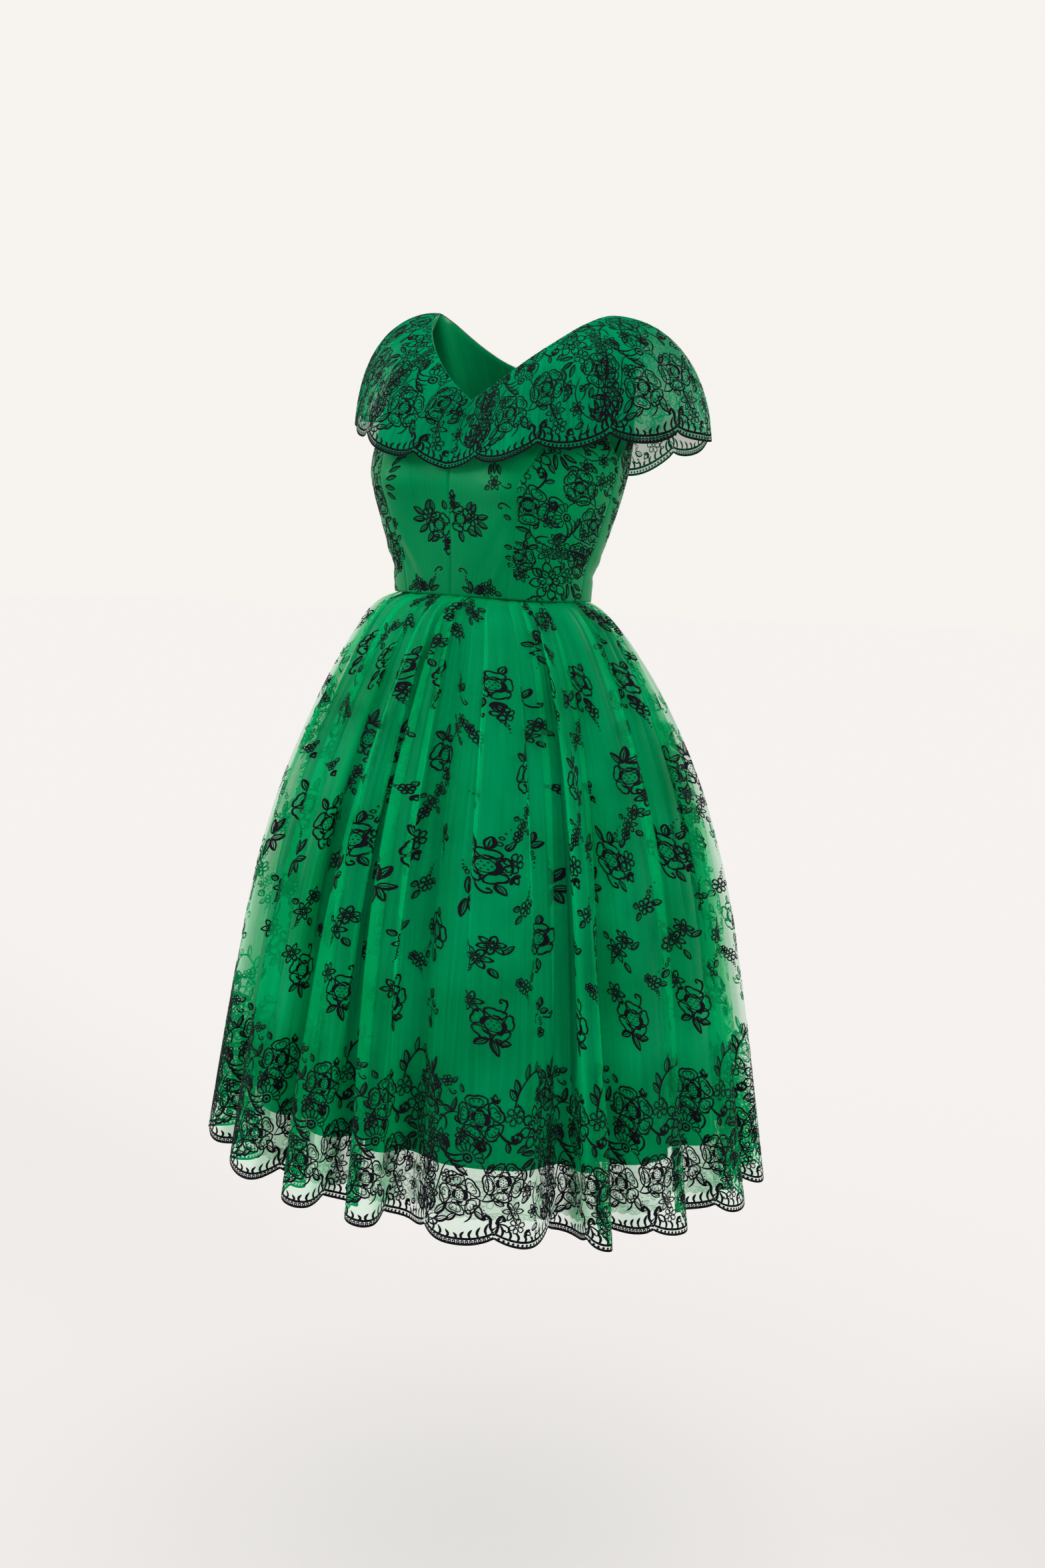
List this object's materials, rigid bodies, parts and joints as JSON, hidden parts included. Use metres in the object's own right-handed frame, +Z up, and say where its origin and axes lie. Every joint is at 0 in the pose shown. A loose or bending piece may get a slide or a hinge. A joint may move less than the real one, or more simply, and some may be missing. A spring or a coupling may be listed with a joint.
{
  "type": "cocktail dress",
  "caption": "Worn cocktail dress: fitted bodice, wide scalloped shawl collar with a deep V, and a full gathered sheer overskirt over an opaque, lace-edged underskirt.",
  "frame": {"origin": "midway between the tops of the shoulders, at their height, where the dress is held up", "axes": "+Z up, -Y out of the front, +X to the wearer's left"},
  "size_m": [0.6795, 0.6837, 1.0375],
  "materials": {
    "bodice_cloth": "sheer green organza laid on green taffeta, soft sheen, dark raised flower print at the sides",
    "printed_organza": "sheer crisp green organza with a dark raised flower print",
    "taffeta": "plain opaque green taffeta with a soft sheen",
    "lace": "fine pale net lace with a small scalloped edge"
  },
  "bodies": {
    "root": {"bodice_centre_front_left": "bodice_cloth", "bodice_centre_front_right": "bodice_cloth", "bodice_side_front_left": "bodice_cloth", "bodice_side_front_right": "bodice_cloth", "bodice_back_left": "bodice_cloth", "bodice_back_right": "bodice_cloth", "back_placket": "bodice_cloth", "collar_front_left": "printed_organza", "collar_front_right": "printed_organza", "collar_back": "printed_organza", "overskirt_front": "printed_organza", "overskirt_back": "printed_organza", "underskirt_front": "taffeta", "underskirt_back": "taffeta", "lace_edging_front": "lace", "lace_edging_back": "lace"}
  },
  "joints": []
}
